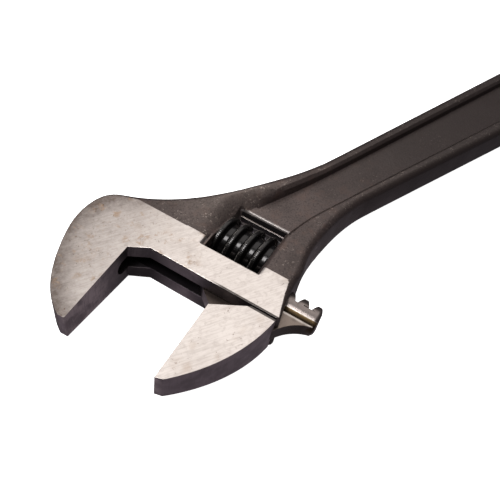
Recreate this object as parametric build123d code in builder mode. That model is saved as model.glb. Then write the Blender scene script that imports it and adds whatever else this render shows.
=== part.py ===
from build123d import *
import os
from math import cos, pi, radians, sin, tan

# Adjustable wrench of the 200 mm class: a forged frame with the fixed jaw, a movable jaw on a round
# toothed rail, a worm that drives the rail, and the pin and spring that hold the worm.
# Row frame: origin in the middle of the hang hole, +X along the handle towards the jaws, +Z square
# to the flat faces. Head frame: u is the way that the jaw slides, v runs back towards the handle.
# All sizes are in millimetres.

os.makedirs("parts", exist_ok=True)

# --- driving dimensions -------------------------------------------------------------------------
HEAD_ANGLE = 22.5  # the jaws lean this much off the handle
HEAD_REACH = 172.0  # hang hole to the throat, along the handle
HEAD_OFFSET = -10.4  # throat to the handle's middle line

HANDLE_END_R = 11.5  # round end of the handle, about the hang hole
HANDLE_WAIST = 112.0  # narrowest place of the handle
WAIST_HALF = 8.2
HANDLE_EDGE_R = 1.9  # forged outer edges
HANG_HOLE_R = 5.0
HANG_HOLE_EASE = 0.6

HANDLE_HALF_T = 4.9  # half thickness of the rims along the handle
HEAD_HALF_T = 6.58  # and of the head before it is ground
SWELL_START = 106.0  # the rims rise to the head's thickness from here
SWELL_MIDDLE = 128.0
SWELL_END = 150.0

RECESS_HALF_T = 2.6  # half thickness of the web between the rims
RECESS_DRAFT = 8.0
RECESS_END = 22.0
RECESS_ROUND = 7.0  # its rounded end reaches this much further
RECESS_FAR = (6.7, 4.6, 5.3)  # far wall to the middle line: at the end, the waist and the head
RECESS_NEAR = (5.9, 4.9, 5.1)  # near wall, at the end, the waist and where it starts to flare
RECESS_RIM_EASE = 0.7

GROUND_HALF_T = 5.795  # half thickness at the throat between the ground faces
GROUND_SLOPE = 0.08  # the ground faces close towards the jaw tips

JAW_DEPTH = 24.0  # throat to the tip of the fixed jaw
THROAT_RISE = 2.6  # slanted corner of the throat
THROAT_RUN = 4.4
HEAD_WIDTH = 38.0  # throat to the end of the frame
HEAD_CORNER = 0.8  # eased corner at that end

JAW_GAP = 23.0  # opening at rest
JAW_PLAY = 0.35  # movable jaw to the front of the frame

RAIL_V = 8.05  # rail's axis
RAIL_R = 3.42
RAIL_CLEARANCE = 0.08
RAIL_START = 15.6
RAIL_END = 44.9
RAIL_EASE = 0.9  # rounding of that end
RAIL_TAPER = 1.8  # eased end that goes first into the bore
RAIL_NOSE_R = 2.02
RAIL_BLIND = -5.7  # end of the bore at full diameter, which narrows from there as the rail does
DRILL_POINT = 59.0  # half angle of the bore's pointed end
WEB_START = 17.6
WEB_HALF = 1.9
WEB_CLEARANCE = 0.1
SLOT_END_V = -6.3  # round end of the slot in the fixed jaw

PITCH = 3.5  # rack and worm
TOOTH_FIRST = 15.4  # first tooth of the rack
TOOTH_COUNT = 9
TOOTH_TIP = 0.4
TOOTH_HEIGHT = 3.4
TOOTH_FLANK = 20.0
BACKLASH = 0.3  # the thread bears on one side of the rack's gaps
MESH_R = 5.6  # the rack's teeth lean as the thread does at this radius

WORM_V = 16.3
WORM_R = 6.2
WORM_ROOT_R = 4.7
WORM_START = 14.15
WORM_END = 27.55
THREAD_HEIGHT = 1.9  # the thread's foot is sunk a little into the core
WORM_CREST = 1.35
WORM_BASE = 2.3
WORM_BORE_R = 2.05

WINDOW_U = (13.8, 27.9)
WINDOW_V = (7.46, 25.6)
WINDOW_CORNER_R = 0.9
FLASH_RIDGE = 0.45  # parting-line ridge on the window's back wall

PIN_R = 1.98
PIN_HOLE_R = 2.0
PIN_START = 7.4
PIN_HEAD_R = 2.75
PIN_HEAD_START = 32.7
PIN_HEAD_END = 35.0
PIN_SLOT = 0.8

SPRING_WIRE_R = 0.3
SPRING_R = 2.6
SPRING_PITCH = 1.4
COUNTERBORE_R = 3.2
COUNTERBORE_END = 18.75

# --- frames of reference ------------------------------------------------------------------------
slide_way = Vector(-sin(radians(HEAD_ANGLE)), cos(radians(HEAD_ANGLE)), 0)
back_way = Vector(-cos(radians(HEAD_ANGLE)), -sin(radians(HEAD_ANGLE)), 0)
throat = Vector(HEAD_REACH, HEAD_OFFSET, 0)
head = Plane(origin=throat, x_dir=slide_way, z_dir=(0, 0, 1))


def on_head(u, v, z=0.0):
    """A point given in the head frame, in the row frame."""
    return throat + slide_way * u + back_way * v + Vector(0, 0, z)


def across(u, v):
    """The plane square to the slide way at a place of the head, its x axis towards the jaw tips."""
    return Plane(origin=on_head(u, v), x_dir=-back_way, z_dir=slide_way)


ground_top = Plane(
    origin=on_head(0, 0, GROUND_HALF_T),
    x_dir=slide_way,
    z_dir=Vector(0, 0, 1) - back_way * GROUND_SLOPE,
)
ground_bottom = Plane(
    origin=on_head(0, 0, -GROUND_HALF_T),
    x_dir=slide_way,
    z_dir=Vector(0, 0, 1) + back_way * GROUND_SLOPE,
)

# --- frame: handle, fixed jaw and the housing of the worm ----------------------------------------
CUT = 40.0  # further than any cut has to reach
end_side = Vector(0, -HANDLE_END_R)
waist_far = Vector(HANDLE_WAIST, -WAIST_HALF)
waist_near = Vector(HANDLE_WAIST, WAIST_HALF)
handle_way = (waist_far - end_side).normalized()

with BuildPart() as frame:
    # the forging's outline, with stock left in the throat for machining
    with BuildSketch(Plane.XY) as forging_outline:
        with BuildLine():
            far_side = Line(end_side, waist_far)
            far_neck = Spline(
                waist_far,
                (135.6, -9.9),
                (151.5, -13.8),
                on_head(-7.6, 10.9),
                tangents=(handle_way, (0.755, -0.656)),
                tangent_scalars=(1, 1),
            )
            back = Spline(
                far_neck @ 1,
                on_head(-12.7, 8.2),
                on_head(-15.3, 0.5),
                on_head(-12.5, -10.9),
                on_head(-7.5, -19.7),
                on_head(-1.9, -24.2),
                tangents=(far_neck % 1, slide_way * 0.89 - back_way * 0.45),
                tangent_scalars=(1, 1),
            )
            stock = Polyline(
                back @ 1,
                on_head(2.0, -JAW_DEPTH),
                on_head(2.0, -8.0),
                on_head(8.0, -3.0),
                on_head(HEAD_WIDTH + 0.3, -3.0),
                on_head(HEAD_WIDTH, 0.4),
            )
            end_wall = ThreePointArc(stock @ 1, on_head(36.75, 6.5), on_head(36.4, 13.0))
            near_neck = Spline(
                end_wall @ 1,
                (141.3, 15.4),
                (131.0, 11.1),
                waist_near,
                tangents=(end_wall % 1, (-handle_way.X, handle_way.Y)),
                tangent_scalars=(1, 1),
            )
            near_side = Line(waist_near, -end_side)
            ThreePointArc(-end_side, (-HANDLE_END_R, 0), end_side)
        make_face()
    extrude(amount=HEAD_HALF_T, both=True)
    # the rims are lower along the handle than at the head
    with BuildSketch(Plane.XZ) as thickness:
        with BuildLine():
            rim = Line((-CUT, HANDLE_HALF_T), (SWELL_START, HANDLE_HALF_T))
            middle = (SWELL_MIDDLE, (HANDLE_HALF_T + HEAD_HALF_T) / 2)
            rise = TangentArc(rim @ 1, middle, tangent=rim % 1)
            swell = TangentArc(rise @ 1, (SWELL_END, HEAD_HALF_T), tangent=rise % 1)
            Polyline(swell @ 1, (HEAD_REACH + CUT, HEAD_HALF_T), (HEAD_REACH + CUT, 0))
            Polyline((HEAD_REACH + CUT, 0), (-CUT, 0), rim @ 0)
        make_face()
        mirror(about=Plane.XZ)
    extrude(amount=CUT, both=True, mode=Mode.INTERSECT)

    # forged edges all round the rims, but not on the lines where one face runs into the next
    rims = frame.edges().filter_by(lambda e: abs(e.center().Z) > HANDLE_HALF_T - 0.1)
    fillet(rims.filter_by(Axis.Y, reverse=True), HANDLE_EDGE_R)
    # the head's two ground faces
    split(bisect_by=ground_top, keep=Keep.BOTTOM)
    split(bisect_by=ground_bottom, keep=Keep.TOP)
    # the throat: face of the fixed jaw, slanted corner and front edge
    with BuildSketch(head):
        with BuildLine():
            Polyline(
                (0, -CUT),
                (0, -THROAT_RISE),
                (THROAT_RUN, 0),
                (HEAD_WIDTH - HEAD_CORNER, 0),
                (HEAD_WIDTH + HEAD_CORNER, 2 * HEAD_CORNER),
                (HEAD_WIDTH + CUT, 2 * HEAD_CORNER),
                (HEAD_WIDTH + CUT, -CUT),
                close=True,
            )
        make_face()
    extrude(amount=CUT, both=True, mode=Mode.SUBTRACT)
    # slot for the movable jaw's web, with a round end in the fixed jaw's face, and the rail's bore
    slot_half = WEB_HALF + WEB_CLEARANCE
    with BuildSketch(across(RAIL_BLIND, RAIL_V)):
        Circle(RAIL_R + RAIL_CLEARANCE)
        with Locations(((RAIL_V - SLOT_END_V - slot_half) / 2, 0)):
            Rectangle(RAIL_V - SLOT_END_V - slot_half, 2 * slot_half)
        with Locations((RAIL_V - SLOT_END_V - slot_half, 0)):
            Circle(slot_half)
    extrude(amount=HEAD_WIDTH + CUT, mode=Mode.SUBTRACT)
    nose = Vector(RAIL_TAPER + RAIL_CLEARANCE, RAIL_NOSE_R)
    with BuildSketch(Plane(origin=on_head(RAIL_BLIND, RAIL_V), x_dir=-slide_way, z_dir=(0, 0, 1))):
        with BuildLine():
            Polyline(
                (0, 0),
                (0, RAIL_R + RAIL_CLEARANCE),
                nose,
                (nose.X + nose.Y / tan(radians(DRILL_POINT)), 0),
                close=True,
            )
        make_face()
    revolve(axis=Axis(on_head(0, RAIL_V), slide_way), mode=Mode.SUBTRACT)

    # window for the worm, right through the head
    with BuildSketch(head):
        with Locations(((WINDOW_U[0] + WINDOW_U[1]) / 2, (WINDOW_V[0] + WINDOW_V[1]) / 2)):
            RectangleRounded(WINDOW_U[1] - WINDOW_U[0], WINDOW_V[1] - WINDOW_V[0], WINDOW_CORNER_R)
    extrude(amount=CUT, both=True, mode=Mode.SUBTRACT)
    # parting-line ridge left on the window's back wall
    with BuildSketch(across(WINDOW_U[0], WINDOW_V[1])):
        with BuildLine():
            Polyline((-0.1, -FLASH_RIDGE), (-0.1, FLASH_RIDGE), (FLASH_RIDGE, 0), close=True)
        make_face()
    extrude(amount=WINDOW_U[1] - WINDOW_U[0])
    # recess between the rims on both sides, open to the window
    for side in (1, -1):
        floor = Plane(origin=(0, 0, side * RECESS_HALF_T), x_dir=(1, 0, 0), z_dir=(0, 0, side))
        with BuildSketch(floor):
            with BuildLine():
                far_wall = Line((RECESS_END, -side * RECESS_FAR[0]), (HANDLE_WAIST, -side * RECESS_FAR[1]))
                far_flare = TangentArc(far_wall @ 1, (141.5, -side * RECESS_FAR[2]), tangent=far_wall % 1)
                far_corner = on_head(WINDOW_U[0] + 0.7, WINDOW_V[1] - 3)
                near_corner = on_head(WINDOW_U[1] - 0.6, WINDOW_V[1] - 5.1)
                Polyline(
                    far_flare @ 1,
                    (far_corner.X, side * far_corner.Y),
                    (near_corner.X, side * near_corner.Y),
                )
                near_flare = TangentArc(
                    (126.0, side * RECESS_NEAR[2]), (near_corner.X, side * near_corner.Y), tangent=(1, 0)
                )
                near_wall = Polyline(
                    near_flare @ 0,
                    (HANDLE_WAIST, side * RECESS_NEAR[1]),
                    (RECESS_END, side * RECESS_NEAR[0]),
                )
                ThreePointArc(near_wall @ 1, (RECESS_END - RECESS_ROUND, side * -0.4), far_wall @ 0)
            make_face()
        extrude(amount=HEAD_HALF_T, taper=-RECESS_DRAFT, mode=Mode.SUBTRACT)
        recess_edges = frame.edges(Select.LAST)
        on_rims = recess_edges.filter_by(
            lambda e: min(abs((e @ 0).Z), abs((e @ 1).Z)) > HANDLE_HALF_T - 0.1
        )
        chamfer(on_rims.filter_by(lambda e: (e @ 0.5).X < SWELL_MIDDLE), RECESS_RIM_EASE)
    # hang hole
    with BuildSketch(Plane.XY):
        Circle(HANG_HOLE_R)
    extrude(amount=CUT, both=True, mode=Mode.SUBTRACT)
    hole_edges = frame.edges(Select.LAST).filter_by(GeomType.CIRCLE)
    chamfer(hole_edges, HANG_HOLE_EASE)
    # hole for the worm's pin, with a seat for the pin's head in the end wall
    with BuildSketch(across(PIN_START - 0.4, WORM_V)):
        Circle(PIN_HOLE_R)
    extrude(amount=CUT, mode=Mode.SUBTRACT)
    with BuildSketch(across(PIN_HEAD_START, WORM_V)):
        Circle(PIN_HEAD_R + 0.1)
    extrude(amount=CUT, mode=Mode.SUBTRACT)
frame.part.label = "frame"
export_step(frame.part, "parts/frame.step")

# --- movable jaw: block, web and toothed rail in one piece ----------------------------------------
with BuildPart() as movable_jaw:
    with BuildSketch(head):
        with BuildLine():
            Polyline(
                (JAW_GAP, -JAW_DEPTH - 0.8),
                (JAW_GAP, -5.0),
                (JAW_GAP + 8.2, -JAW_PLAY),
                (JAW_GAP + 14.3, -JAW_PLAY),
            )
            Spline(
                (JAW_GAP + 14.3, -JAW_PLAY),
                (JAW_GAP + 13.3, -5.4),
                (JAW_GAP + 10.5, -12.6),
                (JAW_GAP + 5.7, -20.0),
                (JAW_GAP + 1.8, -JAW_DEPTH - 0.3),
            )
            Line((JAW_GAP + 1.8, -JAW_DEPTH - 0.3), (JAW_GAP, -JAW_DEPTH - 0.8))
        make_face()
    extrude(amount=HEAD_HALF_T, both=True)
    split(bisect_by=ground_top, keep=Keep.BOTTOM)
    split(bisect_by=ground_bottom, keep=Keep.TOP)
    # web, narrower than the slot in the frame
    with BuildSketch(head):
        with BuildLine():
            Polyline(
                (JAW_GAP + 21.4, RAIL_V),
                (WEB_START, RAIL_V),
                (WEB_START, 0.9),
                (JAW_GAP, -3.5),
                (JAW_GAP + 2.0, -8.0),
                (JAW_GAP + 10.0, -8.0),
                (JAW_GAP + 13.4, -2.2),
                (JAW_GAP + 15.4, 0.7),
            )
            flare = ThreePointArc((JAW_GAP + 15.4, 0.7), (JAW_GAP + 17.9, 3.3), (JAW_GAP + 21.4, 5.0))
            Line(flare @ 1, (JAW_GAP + 21.4, RAIL_V))
        make_face()
    extrude(amount=WEB_HALF, both=True)
    # round rail, its ends eased
    with BuildSketch(Plane(origin=on_head(0, RAIL_V), x_dir=slide_way, z_dir=(0, 0, 1))):
        with BuildLine():
            Polyline(
                (RAIL_START, 0),
                (RAIL_START, RAIL_NOSE_R),
                (RAIL_START + RAIL_TAPER, RAIL_R),
                (RAIL_END - RAIL_EASE, RAIL_R),
            )
            RadiusArc((RAIL_END - RAIL_EASE, RAIL_R), (RAIL_END, RAIL_R - RAIL_EASE), RAIL_EASE)
            Polyline((RAIL_END, RAIL_R - RAIL_EASE), (RAIL_END, 0), (RAIL_START, 0))
        make_face()
    revolve(axis=Axis(on_head(0, RAIL_V), slide_way))
    # rack: gaps cut across the rail at the worm's lead
    lead_lean = PITCH / (2 * pi * MESH_R)
    gap_mouth = (PITCH - TOOTH_TIP) / 2
    gap_floor = gap_mouth - TOOTH_HEIGHT * tan(radians(TOOTH_FLANK))
    crest_v = RAIL_V + RAIL_R
    with BuildSketch(head):
        with Locations([(TOOTH_FIRST + (n + 0.5) * PITCH, crest_v) for n in range(TOOTH_COUNT)]):
            with BuildLine(mode=Mode.PRIVATE) as gap:
                Polyline(
                    (-gap_mouth, 1.0),
                    (-gap_mouth, 0),
                    (-gap_floor, -TOOTH_HEIGHT),
                    (gap_floor, -TOOTH_HEIGHT),
                    (gap_mouth, 0),
                    (gap_mouth, 1.0),
                    close=True,
                )
            add(make_face(gap.edges(), mode=Mode.PRIVATE))
    extrude(amount=CUT / 4, both=True, dir=Vector(0, 0, 1) + slide_way * lead_lean, mode=Mode.SUBTRACT)
movable_jaw.part.label = "movable_jaw"
export_step(movable_jaw.part, "parts/movable_jaw.step")

# --- worm: one thread round a bored core ----------------------------------------------------------
with BuildPart() as worm:
    thread_start = TOOTH_FIRST - 1.5 * PITCH + BACKLASH
    with BuildLine(across(thread_start, WORM_V)):
        lead = Helix(
            PITCH,
            WORM_END + PITCH - thread_start,
            WORM_R - THREAD_HEIGHT,
            direction=slide_way,
            lefthand=True,
        )
    with BuildSketch(Plane(origin=lead @ 0, x_dir=-back_way, z_dir=lead % 0)):
        with BuildLine():
            Polyline(
                (0, -WORM_BASE / 2),
                (THREAD_HEIGHT, -WORM_CREST / 2),
                (THREAD_HEIGHT, WORM_CREST / 2),
                (0, WORM_BASE / 2),
                close=True,
            )
        make_face()
    sweep(path=lead, is_frenet=True)
    split(bisect_by=across(WORM_START, WORM_V), keep=Keep.TOP)
    split(bisect_by=across(WORM_END, WORM_V), keep=Keep.BOTTOM)
    with BuildSketch(across(WORM_START, WORM_V)):
        Circle(WORM_ROOT_R)
    extrude(amount=WORM_END - WORM_START)
    with BuildSketch(across(WORM_START, WORM_V)):
        Circle(WORM_BORE_R)
    extrude(amount=WORM_END - WORM_START, mode=Mode.SUBTRACT)
    with BuildSketch(across(WORM_START, WORM_V)):
        Circle(COUNTERBORE_R)
    extrude(amount=COUNTERBORE_END - WORM_START, mode=Mode.SUBTRACT)
worm.part.label = "worm"
export_step(worm.part, "parts/worm.step")

# --- worm pin: a slotted screw through the head ----------------------------------------------------
with BuildPart() as worm_pin:
    with BuildSketch(across(PIN_START, WORM_V)):
        Circle(PIN_R)
    extrude(amount=PIN_HEAD_END - PIN_START)
    with BuildSketch(across(PIN_HEAD_START, WORM_V)):
        Circle(PIN_HEAD_R)
    extrude(amount=PIN_HEAD_END - PIN_HEAD_START)
    with BuildSketch(across(PIN_HEAD_END - 1.0, WORM_V)):
        Rectangle(2 * PIN_HEAD_R + 1, PIN_SLOT)
    extrude(amount=2.0, mode=Mode.SUBTRACT)
worm_pin.part.label = "worm_pin"
export_step(worm_pin.part, "parts/worm_pin.step")

# --- worm spring: keeps the worm from turning by itself --------------------------------------------
with BuildPart() as worm_spring:
    with BuildLine(across(WINDOW_U[0] + SPRING_WIRE_R + 0.05, WORM_V)):
        coil = Helix(
            SPRING_PITCH,
            COUNTERBORE_END - WINDOW_U[0] - 2 * SPRING_WIRE_R - 0.1,
            SPRING_R,
            direction=slide_way,
        )
    with BuildSketch(Plane(origin=coil @ 0, z_dir=coil % 0)):
        RegularPolygon(SPRING_WIRE_R, 6)
    sweep(path=coil, is_frenet=True)
worm_spring.part.label = "worm_spring"
export_step(worm_spring.part, "parts/worm_spring.step")
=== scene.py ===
"""The look of an adjustable wrench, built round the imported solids.

Each sub-assembly is a class that holds its own sizes and makes and dresses its pieces. Lengths are in
metres in the row's frame: the hang hole is at the origin, +X runs to the jaws and +Z is up.
"""

import logging
import math
from dataclasses import dataclass
from enum import Enum
from typing import Any, Optional, Union

import bmesh
import bpy
import numpy as np
from mathutils import Matrix, Vector

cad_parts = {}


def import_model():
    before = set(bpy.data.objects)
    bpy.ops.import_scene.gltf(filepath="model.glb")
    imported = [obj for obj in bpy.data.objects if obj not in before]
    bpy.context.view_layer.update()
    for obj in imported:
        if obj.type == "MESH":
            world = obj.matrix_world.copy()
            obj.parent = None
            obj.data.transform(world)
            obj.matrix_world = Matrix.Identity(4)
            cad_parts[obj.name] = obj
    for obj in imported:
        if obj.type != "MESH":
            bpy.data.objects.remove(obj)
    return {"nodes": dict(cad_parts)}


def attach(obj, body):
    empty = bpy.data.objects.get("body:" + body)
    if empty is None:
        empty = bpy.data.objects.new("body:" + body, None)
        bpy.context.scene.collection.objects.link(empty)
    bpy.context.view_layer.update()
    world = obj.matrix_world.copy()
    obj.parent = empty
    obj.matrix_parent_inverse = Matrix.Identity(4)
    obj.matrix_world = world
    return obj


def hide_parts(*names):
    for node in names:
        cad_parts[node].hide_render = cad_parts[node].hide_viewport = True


frame: dict[str, Any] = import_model()
log = logging.getLogger("wrench")

MM = 0.001
UP = np.array([0.0, 0.0, 1.0])
NEAR = 0.03 * MM  # how far a face may lie from the surface that it is sorted to
ON_EDGE = 0.05 * MM  # how far a point may lie from the edge or wall that it is sorted to
LEVEL = 0.9  # the least part of a face's direction that makes it face one way
UPRIGHT = 0.1  # the most of a face's direction along Z that leaves it a wall
SHARP = math.radians(32)  # the angle from which an edge is eased

Colour = tuple[float, float, float]
Place = tuple[float, float, float]
Span = tuple[float, float]
Pair = tuple[float, float]
Value = Union["Term", float]
Cut = tuple[Vector, Vector]


# --- the head's own axes --------------------------------------------------------------------------
@dataclass(frozen=True)
class HeadAxes:
    """The axes of the jaws: u is the way that the jaw slides, v runs back towards the handle."""

    lean: float = math.radians(22.5)
    throat_x: float = 172 * MM
    throat_y: float = -10.4 * MM

    @property
    def slide(self) -> np.ndarray:
        """The way that the movable jaw opens."""
        return np.array([-math.sin(self.lean), math.cos(self.lean), 0.0])

    @property
    def back(self) -> np.ndarray:
        """The way from the jaw tips to the handle."""
        return np.array([-math.cos(self.lean), -math.sin(self.lean), 0.0])

    @property
    def throat(self) -> np.ndarray:
        """The corner between the jaws."""
        return np.array([self.throat_x, self.throat_y, 0.0])

    def place(self, u: float, v: float) -> np.ndarray:
        """A point at half height, given by its distances along the head's axes."""
        return self.throat + self.slide * u + self.back * v

    def read(self, points: np.ndarray) -> tuple[np.ndarray, np.ndarray]:
        """The distances u and v of points: the way from the throat, dotted with each axis."""
        offset = points - self.throat
        return offset @ self.slide, offset @ self.back


HEAD = HeadAxes()


# --- shader expressions ---------------------------------------------------------------------------
@dataclass(frozen=True)
class Noise:
    """A cloudy pattern of blobs.

    The fields are the size of its blobs in metres, how many finer layers it has, how strong each finer
    layer is, how many times longer the blobs are along each turned axis, and the angle in radians that
    the pattern is turned about Z.
    """

    size: float
    detail: float = 3.0
    rough: float = 0.55
    stretch: Place = (1.0, 1.0, 1.0)
    turn: float = 0.0


class Term:
    """A number that varies over a surface, written with Python's own operators."""

    def __init__(self, bench: "Bench", socket: bpy.types.NodeSocket) -> None:
        """Wraps one output socket of a bench's node tree."""
        self.bench = bench
        self.socket = socket

    def _math(self, operation: str, first: Value, second: Value) -> "Term":
        """Adds one Math node.

        Args:
            operation: the node's operation.
            first: its first value or link.
            second: its second value or link.

        Returns:
            The node's output.
        """
        return self.bench.number("ShaderNodeMath", {"operation": operation}, {0: first, 1: second})

    def __add__(self, other: Value) -> "Term":
        """This plus a value."""
        return self._math("ADD", self, other)

    def __radd__(self, other: Value) -> "Term":
        """A value plus this."""
        return self._math("ADD", other, self)

    def __sub__(self, other: Value) -> "Term":
        """This less a value."""
        return self._math("SUBTRACT", self, other)

    def __rsub__(self, other: Value) -> "Term":
        """A value less this."""
        return self._math("SUBTRACT", other, self)

    def __mul__(self, other: Value) -> "Term":
        """This times a value."""
        return self._math("MULTIPLY", self, other)

    def __rmul__(self, other: Value) -> "Term":
        """A value times this."""
        return self._math("MULTIPLY", other, self)

    def __pow__(self, other: Value) -> "Term":
        """This to a power."""
        return self._math("POWER", self, other)

    def __abs__(self) -> "Term":
        """This without its sign."""
        return self._math("ABSOLUTE", self, 0.0)

    def most(self, other: Value) -> "Term":
        """The larger of this and a value."""
        return self._math("MAXIMUM", self, other)

    def angle(self, other: Value) -> "Term":
        """The angle whose tangent is this over a value."""
        return self._math("ARCTAN2", self, other)

    def distance(self, other: "Term") -> "Term":
        """The root of the sum of the squares of this and another."""
        return (self * self + other * other) ** 0.5

    def rise(self, low: float, high: float) -> "Term":
        """A smooth step of this.

        Args:
            low: where the step is 0.
            high: where the step is 1; it may be under low, for a step that falls.

        Returns:
            The step, between 0 and 1.
        """
        settings = {"interpolation_type": "SMOOTHSTEP", "clamp": True}
        if low <= high:
            return self.bench.number("ShaderNodeMapRange", settings, {0: self, 1: low, 2: high})
        return 1.0 - self.rise(high, low)

    def rise_by(self, middle: float, span: Span) -> "Term":
        """A smooth step whose two places are given by how far they lie past a middle."""
        return self.rise(middle + span[0], middle + span[1])


class Bench:
    """The node tree of one material or world, and the one method that adds a node to it."""

    def __init__(self, owner: Union[bpy.types.Material, bpy.types.World]) -> None:
        """Empties the node tree.

        Args:
            owner: the material or the world that has it.
        """
        self.owner = owner
        owner.use_nodes = True
        self.tree = owner.node_tree
        self.tree.nodes.clear()

    @classmethod
    def of_material(cls, name: str) -> "Bench":
        """A bench for a new material."""
        return cls(bpy.data.materials.new(name))

    def add(
        self,
        kind: str,
        settings: Optional[dict[str, Any]] = None,
        inputs: Optional[dict[Union[int, str], Any]] = None,
    ) -> bpy.types.Node:
        """Adds any node.

        Args:
            kind: the node's type.
            settings: its properties, set first.
            inputs: values, links or terms for its sockets, by name or by number.

        Returns:
            The node.
        """
        node = self.tree.nodes.new(kind)
        for key, value in (settings or {}).items():
            setattr(node, key, value)
        for key, value in (inputs or {}).items():
            socket = node.inputs[key]
            if isinstance(value, Term):
                self.tree.links.new(value.socket, socket)
            elif isinstance(value, bpy.types.NodeSocket):
                self.tree.links.new(value, socket)
            elif isinstance(value, tuple) and socket.type == "RGBA":
                socket.default_value = (*value, 1.0)
            else:
                socket.default_value = value
        return node

    def number(
        self,
        kind: str,
        settings: Optional[dict[str, Any]] = None,
        inputs: Optional[dict[Union[int, str], Any]] = None,
        output: Union[int, str] = 0,
    ) -> Term:
        """Adds a node and wraps one of its outputs, by name or by number, as a term."""
        return Term(self, self.add(kind, settings, inputs).outputs[output])

    def place(self) -> bpy.types.NodeSocket:
        """The point on the piece, in its own coordinates."""
        return self.add("ShaderNodeTexCoord").outputs["Object"]

    def attribute(self, name: str) -> Term:
        """A number stored on the piece's points."""
        return self.number("ShaderNodeAttribute", {"attribute_name": name}, output="Fac")

    def along(self, axis: np.ndarray, origin: np.ndarray) -> Term:
        """How far the point lies along an axis.

        Args:
            axis: the axis, of length one.
            origin: the point where the distance is zero.

        Returns:
            The distance in metres.
        """
        settings = {"operation": "DOT_PRODUCT"}
        dot = self.number("ShaderNodeVectorMath", settings, {0: self.place(), 1: tuple(axis)}, "Value")
        return dot - float(np.dot(axis, origin))

    def x(self) -> Term:
        """How far the point lies from the hang hole, towards the jaws."""
        return self.along(np.array([1.0, 0.0, 0.0]), np.zeros(3))

    def u(self) -> Term:
        """How far the point lies from the throat, along the jaw's slide."""
        return self.along(HEAD.slide, HEAD.throat)

    def v(self) -> Term:
        """How far the point lies from the throat, back towards the handle."""
        return self.along(HEAD.back, HEAD.throat)

    def z(self) -> Term:
        """The point's height over the middle of the wrench."""
        return self.along(UP, HEAD.throat)

    def noise(self, pattern: Noise) -> Term:
        """Cloudy noise.

        Args:
            pattern: its size, layers, stretch and turn.

        Returns:
            The noise, about 0.5 on average.
        """
        vector = self.place()
        if pattern.stretch != (1.0, 1.0, 1.0) or pattern.turn:
            inputs = {"Vector": vector, "Rotation": (0.0, 0.0, -pattern.turn)}
            turned = self.add("ShaderNodeMapping", None, inputs).outputs[0]
            scale = tuple(1.0 / times for times in pattern.stretch)
            settings = {"operation": "MULTIPLY"}
            vector = self.add("ShaderNodeVectorMath", settings, {0: turned, 1: scale}).outputs[0]
        inputs = {
            "Vector": vector,
            "Scale": 1.0 / pattern.size,
            "Detail": pattern.detail,
            "Roughness": pattern.rough,
        }
        return self.number("ShaderNodeTexNoise", None, inputs)

    def mix(self, first: Any, second: Any, share: Value) -> bpy.types.NodeSocket:
        """Mixes two colours.

        Args:
            first: the colour or link where the share is 0.
            second: the colour or link where the share is 1.
            share: the term or number that mixes them.

        Returns:
            The mixed colour.
        """
        settings = {"data_type": "RGBA", "clamp_factor": True}
        return self.add("ShaderNodeMix", settings, {0: share, 6: first, 7: second}).outputs[2]

    def bump(self, height: Term, depth: float, strength: float) -> bpy.types.NodeSocket:
        """A normal from a height.

        Args:
            height: the height, from 0 to 1.
            depth: how many metres a height of 1 stands for.
            strength: the share of the effect.

        Returns:
            The normal.
        """
        inputs = {"Height": height, "Distance": depth, "Strength": strength}
        return self.add("ShaderNodeBump", None, inputs).outputs[0]

    def surface(self, **inputs: Any) -> bpy.types.Material:
        """Closes the tree with a Principled shader.

        Args:
            inputs: the shader's sockets by name, with _ for a space.

        Returns:
            The material.
        """
        named = {key.replace("_", " "): value for key, value in inputs.items()}
        shader = self.add("ShaderNodeBsdfPrincipled", None, named)
        self.add("ShaderNodeOutputMaterial", None, {0: shader.outputs[0]})
        return self.owner


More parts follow.
